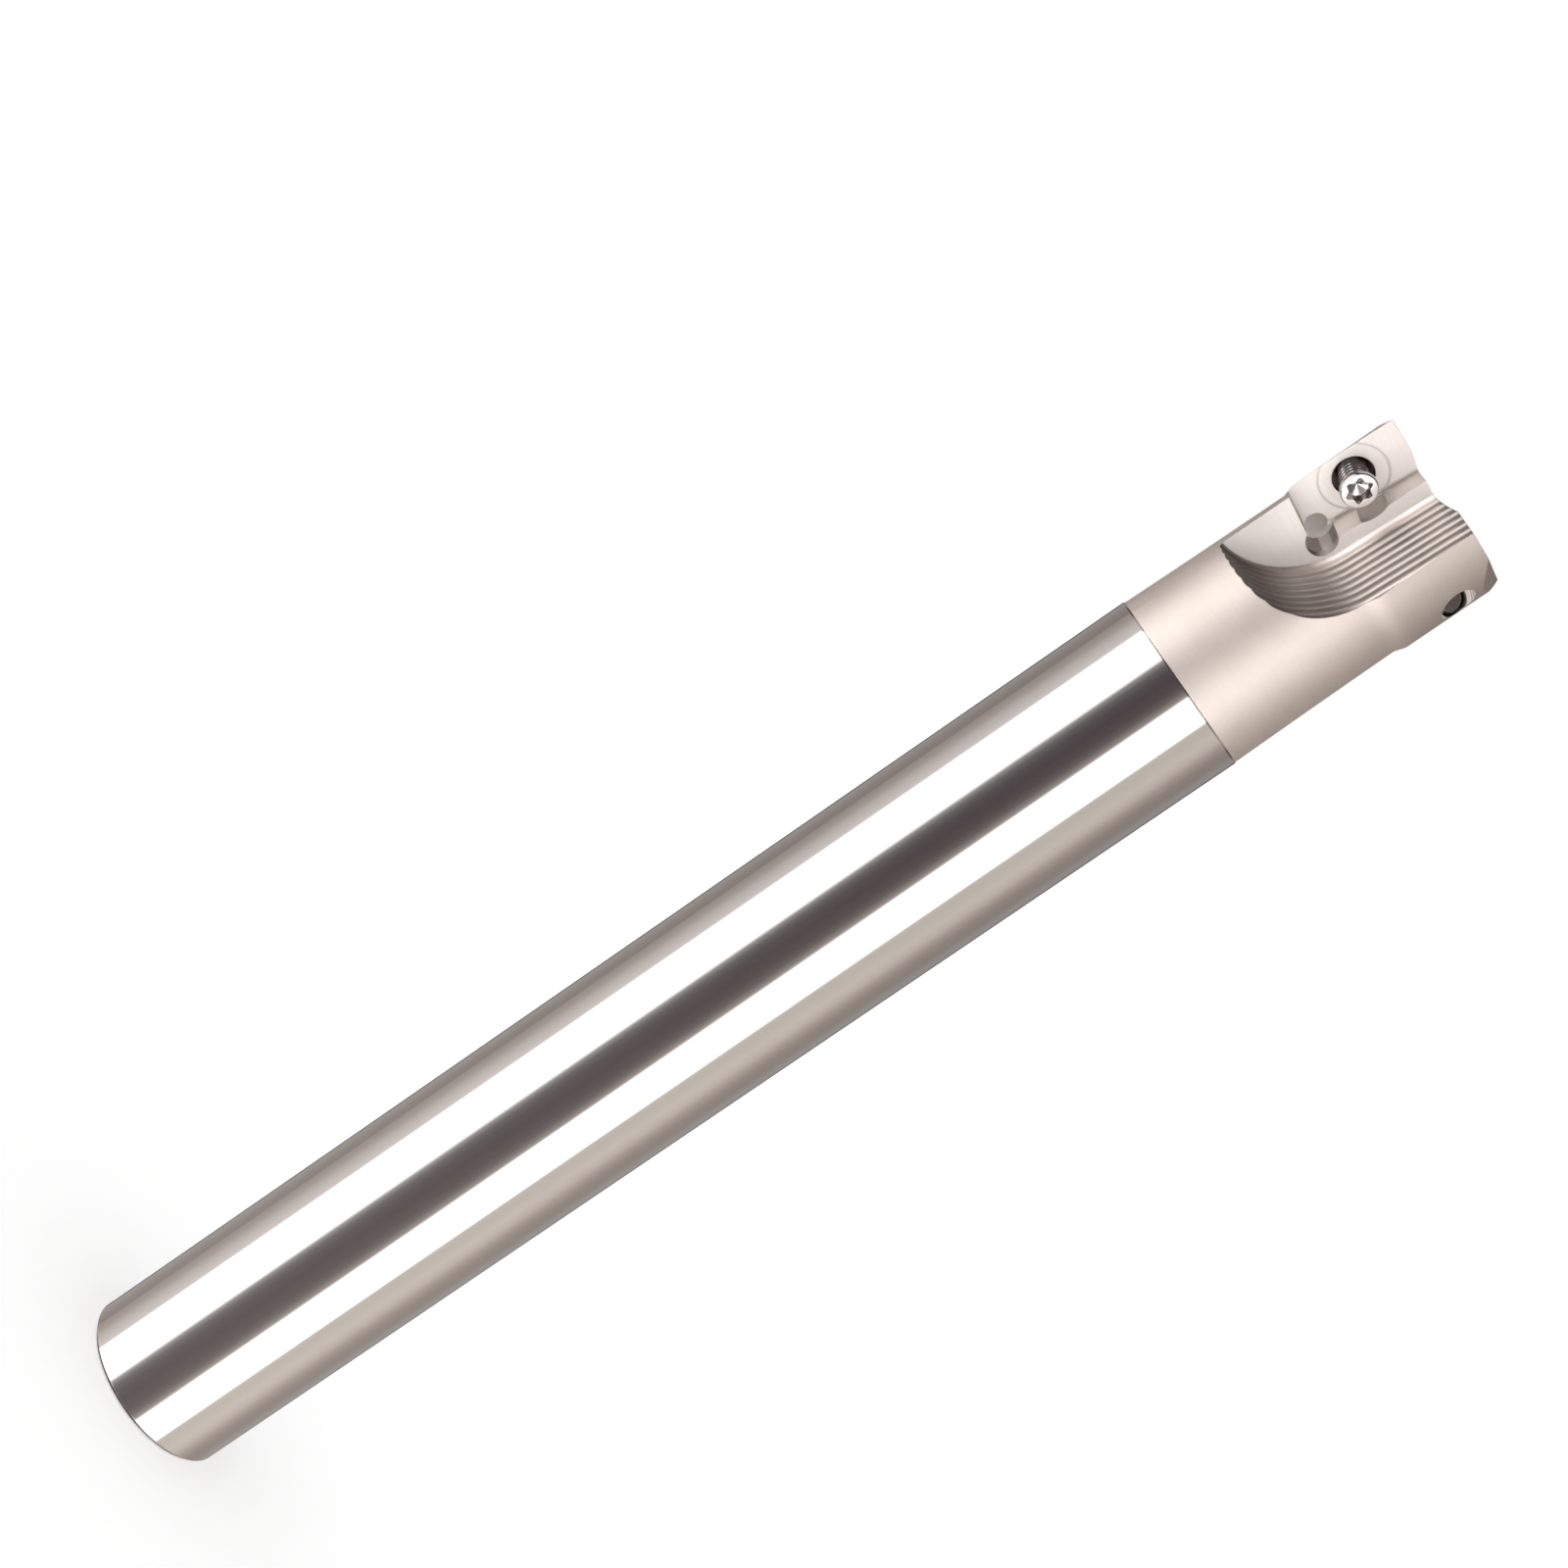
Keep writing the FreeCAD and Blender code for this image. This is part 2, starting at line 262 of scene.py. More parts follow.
# Clamp screw's surface: rolled all over, with a paler top face
SCREW_COLOUR = (0.78, 0.75, 0.74)
SCREW_ROUGHNESS = (0.10, 0.20)
SCREW_FACE_COLOUR = (0.90, 0.87, 0.86)
SCREW_FACE_ROUGHNESS = 0.36
SCREW_FACE_FACING = (0.85, 0.95)
SCREW_FACE_HEIGHT = (SCREW_TOP - 0.1 * MM, SCREW_TOP - 0.05 * MM)
SCREW_SHAFT_HEIGHT = (SCREW_TOP - 1.0 * MM, SCREW_TOP - 1.1 * MM)


def new_material(name):
    material = bpy.data.materials.new(name)
    material.use_nodes = True
    material.node_tree.nodes.clear()
    return material, material.node_tree


def add(tree, kind, **values):
    node = tree.nodes.new(kind)
    for key, value in values.items():
        setattr(node, key, value)
    return node


def join(tree, source, target):
    tree.links.new(source, target)


def feed(tree, value, socket):
    """Links another node's output, or sets a number, vector or colour."""
    if isinstance(value, bpy.types.NodeSocket):
        join(tree, value, socket)
    elif isinstance(value, tuple) and len(value) < len(socket.default_value):
        socket.default_value = (*value, 1.0)
    else:
        socket.default_value = value


def number(tree, operation, first, second=0.0):
    node = add(tree, "ShaderNodeMath", operation=operation)
    feed(tree, first, node.inputs[0])
    feed(tree, second, node.inputs[1])
    return node.outputs[0]


def product(tree, first, *others):
    for other in others:
        first = number(tree, "MULTIPLY", first, other)
    return first


def rest_of(tree, share):
    """What a share leaves of 1."""
    return number(tree, "SUBTRACT", 1.0, share)


def share_between(tree, value, start, full, shape="SMOOTHSTEP"):
    """0 at one value and before it, 1 at the other and beyond it, smooth in between."""
    node = add(tree, "ShaderNodeMapRange", interpolation_type=shape)
    feed(tree, value, node.inputs["Value"])
    feed(tree, start, node.inputs["From Min"])
    feed(tree, full, node.inputs["From Max"])
    feed(tree, 0.0, node.inputs["To Min"])
    feed(tree, 1.0, node.inputs["To Max"])
    return node.outputs["Result"]


def mixed(tree, share, first, second, blend_type="MIX"):
    """Colour between two colours."""
    node = add(tree, "ShaderNodeMix", data_type="RGBA", blend_type=blend_type)
    feed(tree, share, node.inputs["Factor"])
    feed(tree, first, node.inputs["A"])
    feed(tree, second, node.inputs["B"])
    return node.outputs["Result"]


def shaded(tree, colour, shade):
    """Colour multiplied by a number."""
    return mixed(tree, 1.0, colour, shade, "MULTIPLY")


def levelled(tree, share, first, second):
    """Number between two numbers."""
    node = add(tree, "ShaderNodeMix", data_type="FLOAT")
    feed(tree, share, node.inputs["Factor"])
    feed(tree, first, node.inputs["A"])
    feed(tree, second, node.inputs["B"])
    return node.outputs["Result"]


def vector(tree, operation, first, second=None):
    """Result of an operation on vectors: a number for a dot product or a length, else a vector."""
    node = add(tree, "ShaderNodeVectorMath", operation=operation)
    feed(tree, first, node.inputs[0])
    if second is not None:
        feed(tree, second, node.inputs[1])
    gives_number = operation in ("DOT_PRODUCT", "LENGTH")
    return node.outputs["Value" if gives_number else "Vector"]


def combined(tree, x=0.0, y=0.0, z=0.0):
    node = add(tree, "ShaderNodeCombineXYZ")
    for value, socket in zip((x, y, z), node.inputs):
        feed(tree, value, socket)
    return node.outputs[0]


def split_vector(tree, whole):
    node = add(tree, "ShaderNodeSeparateXYZ")
    join(tree, whole, node.inputs[0])
    return node.outputs["X"], node.outputs["Y"], node.outputs["Z"]


def blended_normal(tree, share, first, second):
    """Unit normal between two normals."""
    node = add(tree, "ShaderNodeMix", data_type="VECTOR")
    feed(tree, share, node.inputs["Factor"])
    join(tree, first, node.inputs["A"])
    join(tree, second, node.inputs["B"])
    return vector(tree, "NORMALIZE", node.outputs["Result"])


def grain(tree, place, periods):
    """Noise from 0 to 1 with its own period along X, Y and Z, in metres."""
    mapping = add(tree, "ShaderNodeMapping")
    mapping.inputs["Scale"].default_value = [1.0 / period for period in periods]
    join(tree, place, mapping.inputs["Vector"])
    noise = add(tree, "ShaderNodeTexNoise")
    noise.inputs["Scale"].default_value = 1.0
    noise.inputs["Detail"].default_value = GRAIN_DETAIL
    join(tree, mapping.outputs[0], noise.inputs["Vector"])
    return noise.outputs["Fac"]


def glow_shader(tree, colour, strength):
    node = add(tree, "ShaderNodeEmission")
    feed(tree, colour, node.inputs["Color"])
    feed(tree, strength, node.inputs["Strength"])
    return node.outputs[0]


def shader_between(tree, share, first, second):
    node = add(tree, "ShaderNodeMixShader")
    for value, socket in zip((share, first, second), node.inputs):
        join(tree, value, socket)
    return node.outputs[0]


def finish_material(tree, shader):
    output = add(tree, "ShaderNodeOutputMaterial")
    join(tree, shader, output.inputs["Surface"])


def set_up_camera():
    data = bpy.data.cameras.new("camera")
    camera = bpy.data.objects.new("camera", data)
    bpy.context.scene.collection.objects.link(camera)
    place = Vector(CAMERA_PLACE)
    back = (place - Vector(CAMERA_TARGET)).normalized()
    up = Vector(CAMERA_UP)
    up = (up - back * up.dot(back)).normalized()
    right = up.cross(back)
    matrix = Matrix((right, up, back)).transposed().to_4x4()
    matrix.translation = place
    camera.matrix_world = matrix
    data.sensor_width = SENSOR_WIDTH
    data.lens = CAMERA_LENS
    data.clip_start = CAMERA_NEAR
    data.clip_end = CAMERA_FAR
    bpy.context.scene.camera = camera


def is_seen_directly(tree):
    """1 for a camera, glossy or transmission ray, else 0."""
    rays = add(tree, "ShaderNodeLightPath").outputs
    seen = number(tree, "MAXIMUM", rays["Is Camera Ray"], rays["Is Glossy Ray"])
    return number(tree, "MAXIMUM", seen, rays["Is Transmission Ray"])


def background(tree, colour):
    node = add(tree, "ShaderNodeBackground")
    node.inputs["Color"].default_value = colour
    node.inputs["Strength"].default_value = 1.0
    return node.outputs[0]


def set_up_world():
    """White where it is seen, and a little darker as light."""
    world = bpy.data.worlds.new("studio")
    bpy.context.scene.world = world
    world.use_nodes = True
    tree = world.node_tree
    tree.nodes.clear()
    ambient = background(tree, (AMBIENT_GREY, AMBIENT_GREY, AMBIENT_GREY, 1.0))
    both = shader_between(tree, is_seen_directly(tree), ambient, background(tree, WHITE))
    output = add(tree, "ShaderNodeOutputWorld")
    join(tree, both, output.inputs["Surface"])


def mesh_object(name, vertices, faces):
    mesh = bpy.data.meshes.new(name)
    mesh.from_pydata(vertices, [], faces)
    mesh.update()
    piece = bpy.data.objects.new(name, mesh)
    bpy.context.scene.collection.objects.link(piece)
    return piece


def floor_material():
    """Pale matt floor that reads as white in open light and keeps a shadow."""
    material, tree = new_material("floor_white")
    diffuse = add(tree, "ShaderNodeBsdfDiffuse")
    diffuse.inputs["Color"].default_value = (FLOOR_GREY, FLOOR_GREY, FLOOR_GREY, 1.0)
    both = add(tree, "ShaderNodeAddShader")
    join(tree, diffuse.outputs[0], both.inputs[0])
    join(tree, glow_shader(tree, WHITE, FLOOR_GLOW), both.inputs[1])
    seen = is_seen_directly(tree)
    finish_material(tree, shader_between(tree, seen, diffuse.outputs[0], both.outputs[0]))
    return material


def set_up_floor():
    side = FLOOR_HALF_SIDE
    outline = [(-side, -side), (side, -side), (side, side), (-side, side)]
    corners = [(x, y, -FLOOR_GAP) for x, y in outline]
    floor = mesh_object("floor", corners, [(0, 1, 2, 3)])
    floor.data.materials.append(floor_material())
    floor.visible_glossy = False


def leaned_angle(tree, angle, z):
    """Angle round the axis, turned a little further low down on the side of the leaning box."""
    down = share_between(tree, z, *LEAN_HEIGHT, "LINEAR")
    held = share_between(tree, angle, *map(math.radians, LEAN_SIDE))
    lean = product(tree, down, held, math.radians(LEAN_ANGLE))
    return number(tree, "ADD", angle, lean)


def studio_colour(tree, angle):
    """Colour of the cards at an angle round the axis."""
    ramp = add(tree, "ShaderNodeValToRGB")
    ramp.color_ramp.interpolation = "LINEAR"
    join(tree, share_between(tree, angle, -math.pi, math.pi, "LINEAR"), ramp.inputs["Fac"])
    elements = ramp.color_ramp.elements
    elements[0].position = 0.0
    elements[0].color = (*STUDIO[0][1], 1.0)
    elements[1].position = 1.0
    elements[1].color = (*STUDIO[-1][1], 1.0)
    for degrees, colour in STUDIO[1:-1]:
        element = elements.new((degrees + HALF_TURN) / FULL_TURN)
        element.color = (*colour, 1.0)
    return ramp.outputs["Color"]


def cloth_share(tree, angle, z):
    """1 where the dark cloth hangs, 0 where the cards show."""
    high = share_between(tree, z, *CLOTH_HEIGHT)
    side = number(tree, "ABSOLUTE", angle)
    at_back = share_between(tree, side, *map(math.radians, CLOTH_BACK_ANGLE))
    low_cloth = share_between(tree, z, *CLOTH_BACK_HEIGHT)
    return number(tree, "MAXIMUM", high, product(tree, at_back, low_cloth))


def tent_material():
    """Soft boxes, grey cards and a dark cloth, as one band of colour round the axis."""
    material, tree = new_material("studio_cards")
    x, y, z = split_vector(tree, add(tree, "ShaderNodeTexCoord").outputs["Object"])
    angle = number(tree, "ARCTAN2", y, x)
    cards = studio_colour(tree, leaned_angle(tree, angle, z))
    low = share_between(tree, z, *LIFT_HEIGHT)
    lifted = mixed(tree, low, cards, LIFT_COLOUR, "ADD")
    colour = mixed(tree, cloth_share(tree, angle, z), lifted, CLOTH_COLOUR)
    finish_material(tree, glow_shader(tree, colour, 1.0))
    return material


def tent_mesh():
    """Wall of flat panels round the axis, closed on top by a flat fan of triangles."""
    vertices = [(0.0, 0.0, TENT_TOP)]
    faces = []
    for index in range(TENT_STEPS):
        turn = math.tau * index / TENT_STEPS
        for height in (TENT_FOOT, TENT_TOP):
            vertices.append((TENT_RADIUS * math.cos(turn), TENT_RADIUS * math.sin(turn), height))
    for index in range(TENT_STEPS):
        here = 1 + 2 * index
        there = 1 + 2 * ((index + 1) % TENT_STEPS)
        faces.append((here, there, there + 1, here + 1))
        faces.append((here + 1, there + 1, 0))
    return vertices, faces


def set_up_tent():
    """Ring of cards round the tool, closed on top, that only reflections see."""
    tent = mesh_object("studio_cards", *tent_mesh())
    # local +X is turned to the camera, and local +Y to the picture's upper edge
    turn = math.radians(CAMERA_AZIMUTH)
    towards = Vector((math.cos(turn), math.sin(turn), 0.0))
    upper = Vector((math.sin(turn), -math.cos(turn), 0.0))
    tent.matrix_world = Matrix((towards, upper, Vector((0.0, 0.0, 1.0)))).transposed().to_4x4()
    tent.data.materials.append(tent_material())
    tent.visible_camera = False
    tent.visible_diffuse = False
    tent.visible_shadow = False
    tent.visible_transmission = False


def metal(tree, colour, roughness, normal, metallic=1.0):
    """One metal surface straight to the material's output."""
    shader = add(tree, "ShaderNodeBsdfPrincipled")
    feed(tree, metallic, shader.inputs["Metallic"])
    feed(tree, colour, shader.inputs["Base Color"])
    feed(tree, roughness, shader.inputs["Roughness"])
    join(tree, normal, shader.inputs["Normal"])
    finish_material(tree, shader.outputs[0])


def hollow_share(tree, reach):
    """0 in the open, 1 deep in a hole or a corner."""
    node = add(tree, "ShaderNodeAmbientOcclusion", samples=HOLLOW_SAMPLES)
    node.inputs["Distance"].default_value = reach
    return share_between(tree, node.outputs["AO"], *HOLLOW_OPENNESS)


def rounded_edges(tree, radius):
    """Normal that rounds the edges off, and how far it turns there, from 0 to 1."""
    bevel = add(tree, "ShaderNodeBevel", samples=EDGE_SAMPLES)
    bevel.inputs["Radius"].default_value = radius
    flat = add(tree, "ShaderNodeNewGeometry").outputs["Normal"]
    facing = vector(tree, "DOT_PRODUCT", bevel.outputs[0], flat)
    return bevel.outputs[0], share_between(tree, facing, *EDGE_WEAR_HIGHLIGHT_FACING)


def bumped(tree, normal, height):
    """Normal of a surface with this height in metres."""
    bump = add(tree, "ShaderNodeBump")
    bump.inputs["Strength"].default_value = 1.0
    bump.inputs["Distance"].default_value = 1.0
    join(tree, height, bump.inputs["Height"])
    join(tree, normal, bump.inputs["Normal"])
    return bump.outputs[0]


def outside_share(tree, x, y, normal):
    """1 on the head's turned outside, 0 on what is cut into it."""
    flat = combined(tree, x, y)
    facing = vector(tree, "DOT_PRODUCT", vector(tree, "NORMALIZE", flat), normal)
    is_far = share_between(tree, vector(tree, "LENGTH", flat), *OUTSIDE_RADIUS)
    return product(tree, is_far, share_between(tree, facing, *OUTSIDE_FACING))


def gullet_height(tree, x, y, z):
    """Height above the foot of a gullet's wall, square to its length, on either side of the axis."""
    tilt = math.radians(GULLET_TILT)
    level = product(tree, y, number(tree, "SIGN", x))
    level = product(tree, number(tree, "SUBTRACT", level, GULLET_FLOOR_LEVEL), math.cos(tilt))
    rise = product(tree, number(tree, "SUBTRACT", z, GULLET_REFERENCE), math.sin(tilt))
    return number(tree, "SUBTRACT", level, rise)


def pass_lines(tree, height):
    """1 along the middle of each milled pass, where a painted shade goes, 0 between them and at the
    foot.
    """
    passes = number(tree, "DIVIDE", number(tree, "SUBTRACT", height, FOOT_PASS_HEIGHT), PASS_HEIGHT)
    turn = product(tree, number(tree, "ADD", passes, PASS_LINE_SHIFT), math.tau)
    line = share_between(tree, number(tree, "COSINE", turn), *PASS_LINE_COSINE)
    return product(tree, line, share_between(tree, height, *PASS_LINE_ABOVE))


def screw_axes():
    """Directions across and along the first pocket's screw."""
    lean = math.radians(SCREW_LEAN)
    return Vector((1.0, 0.0, 0.0)), Vector((0.0, math.cos(lean), -math.sin(lean)))


def screw_distance(tree, x, place):
    """Distance from the nearer screw's axis, and height along it from the pocket floor."""
    across, up = screw_axes()
    side = number(tree, "SIGN", x)
    own = vector(tree, "MULTIPLY", place, combined(tree, side, side, 1.0))
    offset = vector(tree, "SUBTRACT", own, SCREW_PLACE)
    squares = []
    for direction in (across, up.cross(across)):
        part = vector(tree, "DOT_PRODUCT", offset, direction)
        squares.append(number(tree, "POWER", number(tree, "ABSOLUTE", part), 2.0))
    distance = number(tree, "SQRT", number(tree, "ADD", *squares))
    return distance, vector(tree, "DOT_PRODUCT", offset, up)


def ring_line(tree, distance):
    """1 on the line that the ring cutter left round a screw, fading to 0 beside it; a painted shade
    goes there.
    """
    off = number(tree, "ABSOLUTE", number(tree, "SUBTRACT", distance, RING_LINE_RADIUS))
    return share_between(tree, off, RING_LINE_WIDTH, 0.0)


def tapped_grooves(tree, along):
    """1 in the grooves that the tap left in the wider bore, 0 on the crests; the grooves get a
    painted shade.
    """
    turn = product(tree, along, math.tau / TAPPED_PITCH)
    return share_between(tree, number(tree, "COSINE", turn), *TAPPED_COSINE)


def find_holes(tree, spot):
    """Adds the shares of the screw's bore, its wider back and the corner's drilled hole."""
    near = share_between(tree, spot.distance, *SCREW_HOLE_DISTANCE)
    is_upper = share_between(tree, spot.along, *BORE_HEIGHT)
    spot.is_bore = product(tree, near, is_upper)
    spot.is_tapped = product(tree, near, rest_of(tree, is_upper))
    is_low = share_between(tree, spot.along, *DRILLED_HEIGHT)
    is_apart = share_between(tree, spot.distance, *DRILLED_DISTANCE)
    is_back = share_between(tree, spot.z, *DRILLED_BELOW)
    spot.is_drilled = product(tree, is_low, spot.is_pocket, is_apart, is_back)


def holder_spot(tree):
    """Where a spot on the holder lies, and what kind of surface it is on as shares from 0 to 1."""
    spot = SimpleNamespace()
    spot.place = add(tree, "ShaderNodeTexCoord").outputs["Object"]
    spot.x, spot.y, spot.z = split_vector(tree, spot.place)
    facet = add(tree, "ShaderNodeNewGeometry").outputs["Normal"]
    normal_x, normal_y, spot.normal_z = split_vector(tree, facet)
    spot.height = gullet_height(tree, spot.x, spot.y, spot.z)
    spot.distance, spot.along = screw_distance(tree, spot.x, spot.place)
    spot.is_head = share_between(tree, spot.z, *HEAD_FROM)
    spot.is_outside = outside_share(tree, spot.x, spot.y, facet)
    spot.is_cut = product(tree, rest_of(tree, spot.is_outside), spot.is_head)
    spot.is_gullet = share_between(tree, spot.height, *GULLET_HEIGHT)
    spot.is_pocket = product(tree, rest_of(tree, spot.is_gullet), spot.is_cut)
    spot.is_floor = share_between(tree, number(tree, "ABSOLUTE", normal_y), *FLOOR_FACING)
    is_side = share_between(tree, number(tree, "ABSOLUTE", normal_x), *SIDE_FACING)
    spot.is_flat = number(tree, "MAXIMUM", spot.is_floor, is_side)
    find_holes(tree, spot)
    return spot


def collar_normal(tree, spot):
    """Normal of the turned head with the collar's cone blended into the neck, and where it counts."""
    rise = share_between(tree, spot.z, *COLLAR_CONE_START)
    fade = share_between(tree, spot.z, *COLLAR_CONE_END)
    tilt = product(tree, rise, fade, -COLLAR_CONE_SLOPE)
    outward = vector(tree, "NORMALIZE", combined(tree, spot.x, spot.y))
    normal = vector(tree, "ADD", outward, combined(tree, z=tilt))
    start = share_between(tree, spot.z, *COLLAR_BLEND_START)
    end = share_between(tree, spot.z, *COLLAR_BLEND_END)
    return normal, product(tree, start, end)


def holder_normal(tree, spot, rounded, worn_highlit_edge):
    """Normal with a soft collar, a soft corner facet and pocket floors that lean outwards."""
    collar, is_collar = collar_normal(tree, spot)
    is_facet = product(tree, share_between(tree, spot.normal_z, *FACET_FACING), FACET_BLEND)
    is_soft = number(tree, "MAXIMUM", is_collar, is_facet)
    blend = product(tree, is_soft, spot.is_outside, rest_of(tree, worn_highlit_edge))
    normal = blended_normal(tree, blend, rounded, collar)
    lean = product(tree, share_between(tree, spot.z, *FLOOR_LEAN_FADE), FLOOR_LEAN)
    lean = product(tree, lean, spot.is_pocket, spot.is_floor)
    outward = combined(tree, number(tree, "SIGN", spot.x))
    return blended_normal(tree, lean, normal, outward)


def pocket_colour(tree, spot):
    """Flat walls and floor, darker curves, and painted shade along the line of the ring cutter."""
    colour = mixed(tree, spot.is_flat, CURVED_COLOUR, FLAT_COLOUR)
    ring = product(tree, ring_line(tree, spot.distance), spot.is_floor, RING_LINE_STRENGTH)
    return mixed(tree, ring, colour, PAINTED_SHADE_COLOUR)


def gullet_colour(tree, spot):
    """Milled wall with painted shade in the middle of each pass, and painted shade making it darker
    round the arc at its back.
    """
    # painted shade by facing: the arc, and most its tip-facing back, is darker
    is_arc = share_between(tree, spot.normal_z, *ARC_FACING)
    is_arc_back = share_between(tree, spot.normal_z, *ARC_BACK_FACING)
    colour = mixed(tree, is_arc, WALL_COLOUR, ARC_COLOUR)
    colour = mixed(tree, is_arc_back, colour, ARC_BACK_COLOUR)
    deepest = levelled(tree, is_arc, PASS_LINE_SHADE, ARC_LINE_SHADE)
    colour = shaded(tree, colour, levelled(tree, pass_lines(tree, spot.height), 1.0, deepest))
    return mixed(tree, spot.is_floor, colour, FLAT_COLOUR)


def cut_colour(tree, spot):
    """Colour of all that is cut into the head: gullets, pockets and holes."""
    colour = mixed(tree, spot.is_gullet, pocket_colour(tree, spot), gullet_colour(tree, spot))
    colour = mixed(tree, spot.is_drilled, colour, DRILLED_COLOUR)
    # painted shade in the tap's grooves: they take the darker curved colour, the crests the paler
    # tapped colour
    tapped = mixed(tree, tapped_grooves(tree, spot.along), TAPPED_COLOUR, CURVED_COLOUR)
    return mixed(tree, spot.is_tapped, colour, tapped)


def with_painted_shade(tree, spot, colour):
    """Colour with painted shade in the hollows of the head, most in the screw's bore, less in the
    tapped and drilled holes.
    """
    hollow = product(tree, hollow_share(tree, HOLLOW_REACH), spot.is_head)
    painted_shade = levelled(tree, spot.is_bore, HOLLOW_PAINTED_SHADE, BORE_PAINTED_SHADE)
    is_less_shaded = number(tree, "MAXIMUM", spot.is_tapped, spot.is_drilled)
    painted_shade = levelled(tree, is_less_shaded, painted_shade, TAPPED_PAINTED_SHADE)
    # painted shade: the hollows are darkened towards a dark colour
    return mixed(tree, product(tree, hollow, painted_shade), colour, PAINTED_SHADE_COLOUR)


def holder_colour(tree, spot, worn_highlit_edge, turned, smudge):
    """Colour of shank and head with their mottle, edge wear with a painted highlight, and painted
    shade in the hollows.
    """
    is_front = share_between(tree, spot.z, *HEAD_FRONT_FROM)
    outside = shaded(tree, HEAD_COLOUR, levelled(tree, is_front, 1.0, HEAD_FRONT_SHADE))
    head = mixed(tree, spot.is_outside, cut_colour(tree, spot), outside)
    mottle = levelled(tree, grain(tree, spot.place, MOTTLE_PERIODS), *MOTTLE_SHADE)
    head = shaded(tree, head, product(tree, mottle, levelled(tree, turned, *TURNED_SHADE)))
    # edge wear and a painted highlight: the edges are lightened
    head = mixed(tree, product(tree, worn_highlit_edge, WORN_EDGE_HIGHLIGHT_SHARE), head, WORN_EDGE_HIGHLIGHT_COLOUR)
    head = with_painted_shade(tree, spot, head)
    shank = shaded(tree, SHANK_COLOUR, levelled(tree, smudge, *SMUDGE_SHADE))
    return mixed(tree, spot.is_head, shank, head)


def holder_roughness(tree, spot, worn_highlit_edge, smudge):
    """Smooth ground shank, satin turned head, and cut surfaces in between."""
    pocket = levelled(tree, spot.is_flat, CURVED_ROUGHNESS, FLAT_ROUGHNESS)
    pocket = levelled(tree, spot.is_drilled, pocket, DRILLED_ROUGHNESS)
    is_foot = share_between(tree, spot.height, *FOOT_HEIGHT)
    gullet = levelled(tree, is_foot, WALL_ROUGHNESS, FOOT_ROUGHNESS)
    gullet = levelled(tree, spot.is_floor, gullet, FLAT_ROUGHNESS)
    head = levelled(tree, spot.is_gullet, pocket, gullet)
    head = levelled(tree, spot.is_outside, head, HEAD_ROUGHNESS)
    head = levelled(tree, product(tree, worn_highlit_edge, WORN_ROUGHNESS_SHARE), head, WORN_ROUGHNESS)
    return levelled(tree, spot.is_head, levelled(tree, smudge, *SHANK_ROUGHNESS), head)


def holder_height(tree, spot, turned):
    """Height of the marks that grinding, turning and milling left."""
    ground = product(tree, grain(tree, spot.place, GROUND_PERIODS), GROUND_HEIGHT)
    milled = product(tree, grain(tree, spot.place, MILLED_PERIODS), MILLED_HEIGHT)
    head = levelled(tree, spot.is_outside, milled, product(tree, turned, TURNED_HEIGHT))
    return levelled(tree, spot.is_head, ground, head)


def holder_metallic(tree, spot):
    """Less metallic where the finish is matt: the floors and the holes."""
    share = levelled(tree, product(tree, spot.is_cut, spot.is_floor), 1.0, FLAT_METALLIC)
    share = levelled(tree, product(tree, spot.is_cut, spot.is_tapped), share, TAPPED_METALLIC)
    return levelled(tree, spot.is_drilled, share, DRILLED_METALLIC)


def holder_material():
    """Ground shank, satin turned head, and cuts in the head left brighter by the milling cutter."""
    material, tree = new_material("holder_steel")
    spot = holder_spot(tree)
    turned = grain(tree, spot.place, TURNED_PERIODS)
    smudge = grain(tree, spot.place, SMUDGE_PERIODS)
    rounded, worn_highlit_edge = rounded_edges(tree, EDGE_RADIUS)
    colour = holder_colour(tree, spot, worn_highlit_edge, turned, smudge)
    roughness = holder_roughness(tree, spot, worn_highlit_edge, smudge)
    normal = holder_normal(tree, spot, rounded, worn_highlit_edge)
    normal = bumped(tree, normal, holder_height(tree, spot, turned))
    metal(tree, colour, roughness, normal, holder_metallic(tree, spot))
    return material


def screw_material():
    """Bright rolled steel, with painted shade in the socket and between the threads."""
    material, tree = new_material("screw_steel")
    coordinates = add(tree, "ShaderNodeTexCoord").outputs
    height = split_vector(tree, coordinates["Object"])[2]
    facing = split_vector(tree, coordinates["Normal"])[2]
    is_top = share_between(tree, height, *SCREW_FACE_HEIGHT)
    is_face = product(tree, share_between(tree, facing, *SCREW_FACE_FACING), is_top)
    is_shaft = share_between(tree, height, *SCREW_SHAFT_HEIGHT)
    scratches = grain(tree, coordinates["Object"], SCRATCH_PERIODS)
    rounded, worn_highlit_edge = rounded_edges(tree, SCREW_EDGE_RADIUS)
    colour = mixed(tree, is_face, SCREW_COLOUR, SCREW_FACE_COLOUR)
    colour = shaded(tree, colour, levelled(tree, scratches, *SCRATCH_SHADE))
    # edge wear and a painted highlight: the edges are lightened
    colour = mixed(tree, product(tree, worn_highlit_edge, WORN_EDGE_HIGHLIGHT_SHARE), colour, WORN_EDGE_HIGHLIGHT_COLOUR)
    # painted shade in the socket and between the threads, where the hollow share says shade falls
    painted_shade = levelled(tree, is_shaft, SOCKET_PAINTED_SHADE, THREAD_PAINTED_SHADE)
    hollow = hollow_share(tree, SCREW_HOLLOW_REACH)
    colour = mixed(tree, product(tree, hollow, painted_shade), colour, PAINTED_SHADE_COLOUR)
    roughness = levelled(tree, scratches, *SCREW_ROUGHNESS)
    roughness = levelled(tree, is_face, roughness, SCREW_FACE_ROUGHNESS)
    normal = bumped(tree, rounded, product(tree, scratches, SCRATCH_HEIGHT))
    metal(tree, colour, roughness, normal)
    return material


